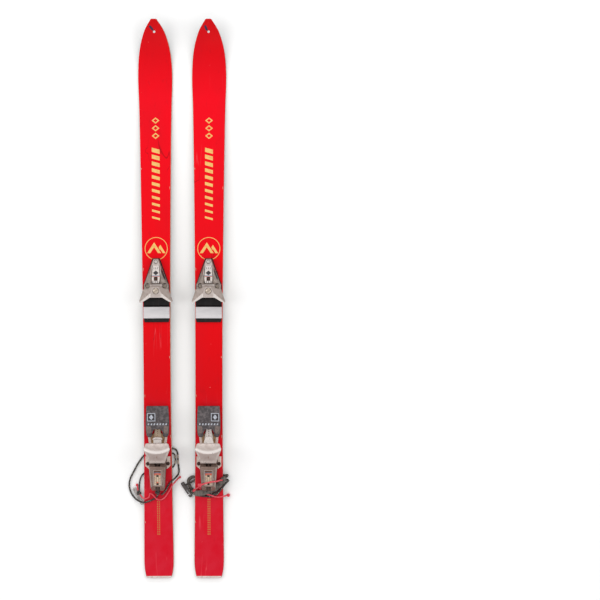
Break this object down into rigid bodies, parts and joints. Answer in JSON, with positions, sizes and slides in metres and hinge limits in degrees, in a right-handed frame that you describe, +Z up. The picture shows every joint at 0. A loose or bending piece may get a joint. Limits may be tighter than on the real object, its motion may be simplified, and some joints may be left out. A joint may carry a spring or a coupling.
{
  "type": "alpine skis with bindings",
  "caption": "Pair of short downhill skis with upturned tips, sprung toe and step-in heel bindings and cord safety leashes.",
  "frame": {"origin": "on the floor under the middle of the pair's box, leashes not counted", "axes": "+Y runs along the skis towards the tips, +X from the left ski to the right ski, +Z up from the running surfaces"},
  "size_m": [0.2441, 1.3502, 0.0762],
  "materials": {
    "red_top": "glossy printed top sheet, lightly scratched",
    "sidewall": "satin phenolic",
    "wood_core": "bare laminated wood",
    "base_plastic": "waxed sintered plastic",
    "edge_steel": "ground, with light rust",
    "black_plastic": "moulded satin",
    "worn_black_plastic": "moulded, scuffed and scratched",
    "glide_plastic": "smooth low-friction plastic",
    "cast_metal": "die cast, satin, worn",
    "housing_metal": "die cast, dulled",
    "polished_metal": "polished by use",
    "worn_steel": "plated, worn and browned",
    "screw_steel": "turned, plated",
    "spring_steel": "oiled wire",
    "indicator": "moulded",
    "hook_metal": "satin",
    "black_cord": "braided, with pale flecks",
    "red_cord": "braided"
  },
  "bodies": {
    "left_ski": {"left_running_base": "base_plastic", "left_steel_edge": "edge_steel", "left_core": "wood_core", "left_sidewall": "sidewall", "left_top_sheet": "red_top", "left_toe_base_plate": "black_plastic", "left_toe_glide_pad": "glide_plastic", "left_toe_housing": "cast_metal", "left_toe_pivot_screw": "screw_steel", "left_toe_plunger": "screw_steel", "left_toe_spring": "spring_steel", "left_heel_pad": "worn_black_plastic", "left_heel_base": "worn_steel", "left_heel_strip": "worn_steel"},
    "left_toe_wing": {"left_toe_wing": "cast_metal"},
    "left_toe_screw": {"left_toe_setting_screw": "screw_steel"},
    "left_toe_indicator": {"left_toe_indicator": "indicator"},
    "left_heel_unit": {"left_heel_housing": "housing_metal", "left_heel_axle": "screw_steel", "left_heel_plunger": "screw_steel", "left_heel_spring": "spring_steel", "left_leash_hook": "hook_metal", "left_leash_strap": "black_cord", "left_leash_lanyard": "black_cord", "left_pull_cord": "red_cord"},
    "left_heel_jaw": {"left_heel_jaw": "cast_metal", "left_heel_pedal": "polished_metal"},
    "left_heel_screw": {"left_heel_setting_screw": "screw_steel"},
    "left_heel_indicator": {"left_heel_indicator": "indicator"},
    "right_ski": {"right_running_base": "base_plastic", "right_steel_edge": "edge_steel", "right_core": "wood_core", "right_sidewall": "sidewall", "right_top_sheet": "red_top", "right_toe_base_plate": "black_plastic", "right_toe_glide_pad": "glide_plastic", "right_toe_housing": "cast_metal", "right_toe_pivot_screw": "screw_steel", "right_toe_plunger": "screw_steel", "right_toe_spring": "spring_steel", "right_heel_pad": "worn_black_plastic", "right_heel_base": "worn_steel", "right_heel_strip": "worn_steel"},
    "right_toe_wing": {"right_toe_wing": "cast_metal"},
    "right_toe_screw": {"right_toe_setting_screw": "screw_steel"},
    "right_toe_indicator": {"right_toe_indicator": "indicator"},
    "right_heel_unit": {"right_heel_housing": "housing_metal", "right_heel_axle": "screw_steel", "right_heel_plunger": "screw_steel", "right_heel_spring": "spring_steel", "right_leash_hook": "hook_metal", "right_leash_strap": "black_cord", "right_pull_cord": "red_cord", "right_tail_cord": "red_cord"},
    "right_heel_jaw": {"right_heel_jaw": "cast_metal", "right_heel_pedal": "polished_metal"},
    "right_heel_screw": {"right_heel_setting_screw": "screw_steel"},
    "right_heel_indicator": {"right_heel_indicator": "indicator"}
  },
  "joints": [
    {"name": "left_toe_wing_swing", "type": "hinge", "parent": "left_ski", "child": "left_toe_wing", "pos_m": [-0.06096, 0.02029, 0.0545], "axis": [-0.0001, 0.0105, 0.9999], "range_deg": [-25, 25], "stiffness_Nm_per_rad": 12},
    {"name": "left_toe_screw_turn", "type": "hinge", "parent": "left_ski", "child": "left_toe_screw", "pos_m": [-0.06153, 0.09209, 0.03474], "axis": [-0.0079, 0.9999, -0.0105], "range_deg": [-630, 630]},
    {"name": "left_toe_indicator_slide", "type": "slide", "parent": "left_ski", "child": "left_toe_indicator", "axis": [-0.0079, 0.9999, -0.0105], "range_m": [-0.0023, 0.0023], "deforming": ["left_toe_spring"]},
    {"name": "left_heel_slide", "type": "slide", "parent": "left_ski", "child": "left_heel_unit", "axis": [-0.0079, 0.999, 0.0436], "range_m": [-0.006, 0.006]},
    {"name": "left_heel_jaw_swing", "type": "hinge", "parent": "left_heel_unit", "child": "left_heel_jaw", "pos_m": [-0.05775, -0.38587, 0.03923], "axis": [1, 0.0079, 0], "range_deg": [0, 40]},
    {"name": "left_heel_screw_turn", "type": "hinge", "parent": "left_heel_unit", "child": "left_heel_screw", "pos_m": [-0.05721, -0.4538, 0.03627], "axis": [-0.0079, 0.999, 0.0436], "range_deg": [-720, 720]},
    {"name": "left_heel_indicator_slide", "type": "slide", "parent": "left_heel_unit", "child": "left_heel_indicator", "axis": [-0.0079, 0.999, 0.0436], "range_m": [-0.0031, 0.0031], "deforming": ["left_heel_spring"]},
    {"name": "right_toe_wing_swing", "type": "hinge", "parent": "right_ski", "child": "right_toe_wing", "pos_m": [0.0655, 0.02029, 0.0545], "axis": [0, 0.0105, 0.9999], "range_deg": [-25, 25], "stiffness_Nm_per_rad": 12},
    {"name": "right_toe_screw_turn", "type": "hinge", "parent": "right_ski", "child": "right_toe_screw", "pos_m": [0.0655, 0.09209, 0.03474], "axis": [0, 0.9999, -0.0105], "range_deg": [-630, 630]},
    {"name": "right_toe_indicator_slide", "type": "slide", "parent": "right_ski", "child": "right_toe_indicator", "axis": [0, 0.9999, -0.0105], "range_m": [-0.0023, 0.0023], "deforming": ["right_toe_spring"]},
    {"name": "right_heel_slide", "type": "slide", "parent": "right_ski", "child": "right_heel_unit", "axis": [0, 0.999, 0.0436], "range_m": [-0.006, 0.006]},
    {"name": "right_heel_jaw_swing", "type": "hinge", "parent": "right_heel_unit", "child": "right_heel_jaw", "pos_m": [0.0655, -0.38588, 0.03923], "axis": [1, 0, 0], "range_deg": [0, 40]},
    {"name": "right_heel_screw_turn", "type": "hinge", "parent": "right_heel_unit", "child": "right_heel_screw", "pos_m": [0.0655, -0.45381, 0.03627], "axis": [0, 0.999, 0.0436], "range_deg": [-720, 720]},
    {"name": "right_heel_indicator_slide", "type": "slide", "parent": "right_heel_unit", "child": "right_heel_indicator", "axis": [0, 0.999, 0.0436], "range_m": [-0.0031, 0.0031], "deforming": ["right_heel_spring"]},
    {"name": "pair_lift", "type": "slide", "parent": "left_ski", "child": "right_ski", "axis": [0, 0, 1], "range_m": [0, 0.2]}
  ],
  "couplings": [
    {"joint": "left_toe_indicator_slide", "follows": "left_toe_screw_turn", "m_per_rad": -0.00019894},
    {"joint": "left_heel_indicator_slide", "follows": "left_heel_screw_turn", "m_per_rad": -0.00023873},
    {"joint": "right_toe_indicator_slide", "follows": "right_toe_screw_turn", "m_per_rad": -0.00019894},
    {"joint": "right_heel_indicator_slide", "follows": "right_heel_screw_turn", "m_per_rad": -0.00023873}
  ]
}
